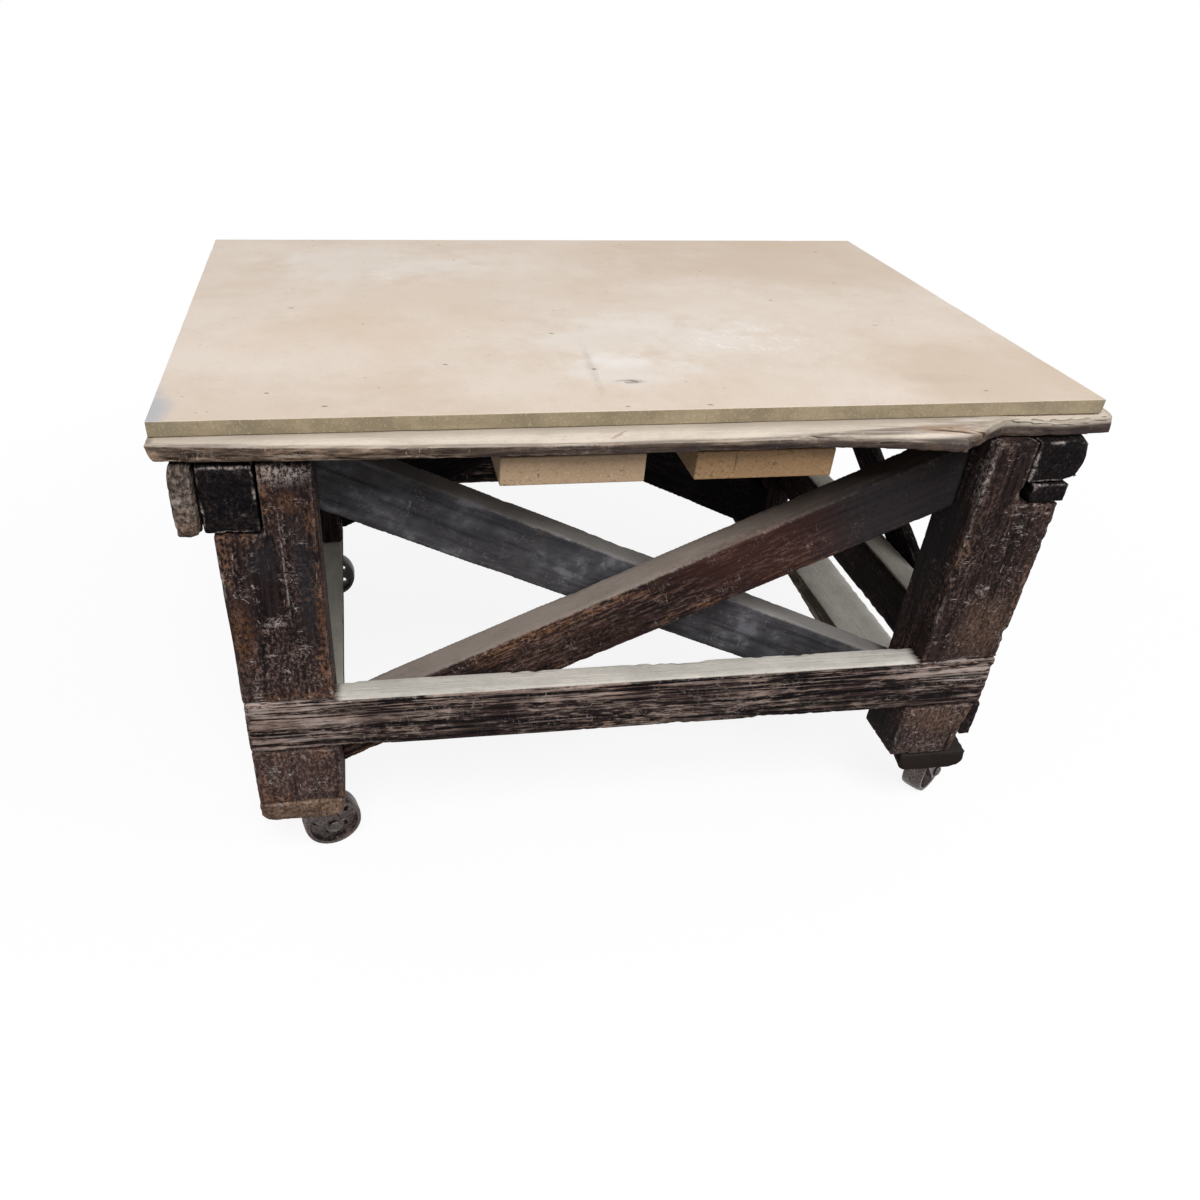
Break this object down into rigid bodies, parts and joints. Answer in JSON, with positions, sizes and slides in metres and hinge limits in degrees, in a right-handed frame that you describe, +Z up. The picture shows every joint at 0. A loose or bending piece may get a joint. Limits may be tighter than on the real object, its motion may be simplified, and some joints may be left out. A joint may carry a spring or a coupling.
{
  "type": "factory cart",
  "caption": "Low timber factory cart with a planked deck under a loose sheet, cross-braced heavy posts and iron swivel casters for moving loads across a shop floor.",
  "frame": {"origin": "centre of the frame at floor level", "axes": "+X along the cart's length to the viewer's right, +Y from the pictured front to the back, +Z up"},
  "size_m": [1.2548, 0.94, 0.7402],
  "materials": {
    "fibreboard": "worn, matte, dusty",
    "deck_wood": "dry, split, oil-stained at the edge",
    "pine": "fresh sawn",
    "old_wood": "black-brown, oiled, scratched, dusty on top",
    "grey_wood": "weathered grey",
    "sole_wood": "worn, chipped",
    "iron": "dark with rust",
    "steel": "dull"
  },
  "bodies": {
    "cart": {"top_sheet": "fibreboard", "deck_board_1": "deck_wood", "deck_board_2": "deck_wood", "deck_board_3": "deck_wood", "deck_board_4": "deck_wood", "deck_board_5": "deck_wood", "batten_left": "pine", "batten_right": "pine", "leg_front_left": "old_wood", "leg_front_right": "old_wood", "leg_back_left": "old_wood", "leg_back_right": "old_wood", "top_rail_left": "old_wood", "top_rail_right": "old_wood", "rail_packing_right": "grey_wood", "side_board_left": "grey_wood", "stretcher_front": "old_wood", "stretcher_back": "old_wood", "side_rail_left": "old_wood", "side_rail_right": "old_wood", "brace_front_rising": "old_wood", "brace_front_falling": "old_wood", "brace_back_rising": "old_wood", "brace_back_falling": "old_wood", "side_brace_right": "grey_wood", "runner_left": "sole_wood", "runner_right": "sole_wood", "caster_front_left_plate": "iron", "caster_front_left_race": "iron", "caster_front_left_kingpin": "steel", "caster_front_right_plate": "iron", "caster_front_right_race": "iron", "caster_front_right_kingpin": "steel", "caster_back_left_plate": "iron", "caster_back_left_race": "iron", "caster_back_left_kingpin": "steel", "caster_back_right_plate": "iron", "caster_back_right_race": "iron", "caster_back_right_kingpin": "steel"},
    "front_left_fork": {"caster_front_left_fork": "iron", "caster_front_left_axle": "steel"},
    "front_left_wheel": {"caster_front_left_wheel": "iron"},
    "front_right_fork": {"caster_front_right_fork": "iron", "caster_front_right_axle": "steel"},
    "front_right_wheel": {"caster_front_right_wheel": "iron"},
    "back_left_fork": {"caster_back_left_fork": "iron", "caster_back_left_axle": "steel"},
    "back_left_wheel": {"caster_back_left_wheel": "iron"},
    "back_right_fork": {"caster_back_right_fork": "iron", "caster_back_right_axle": "steel"},
    "back_right_wheel": {"caster_back_right_wheel": "iron"}
  },
  "joints": [
    {"name": "front_left_swivel", "type": "hinge", "parent": "cart", "child": "front_left_fork", "pos_m": [-0.5045, -0.385, 0.1], "axis": [0, 0, 1], "continuous": true},
    {"name": "front_left_roll", "type": "hinge", "parent": "front_left_fork", "child": "front_left_wheel", "pos_m": [-0.46973, -0.37568, 0.04625], "axis": [-0.2588, 0.9659, 0], "continuous": true},
    {"name": "front_right_swivel", "type": "hinge", "parent": "cart", "child": "front_right_fork", "pos_m": [0.545, -0.385, 0.1], "axis": [0, 0, 1], "continuous": true},
    {"name": "front_right_roll", "type": "hinge", "parent": "front_right_fork", "child": "front_right_wheel", "pos_m": [0.57449, -0.36435, 0.04625], "axis": [-0.5736, 0.8192, 0], "continuous": true},
    {"name": "back_left_swivel", "type": "hinge", "parent": "cart", "child": "back_left_fork", "pos_m": [-0.5045, 0.385, 0.1], "axis": [0, 0, 1], "continuous": true},
    {"name": "back_left_roll", "type": "hinge", "parent": "back_left_fork", "child": "back_left_wheel", "pos_m": [-0.4685, 0.385, 0.04625], "axis": [0, 1, 0], "continuous": true},
    {"name": "back_right_swivel", "type": "hinge", "parent": "cart", "child": "back_right_fork", "pos_m": [0.545, 0.385, 0.1], "axis": [0, 0, 1], "continuous": true},
    {"name": "back_right_roll", "type": "hinge", "parent": "back_right_fork", "child": "back_right_wheel", "pos_m": [0.581, 0.385, 0.04625], "axis": [0, 1, 0], "continuous": true}
  ]
}
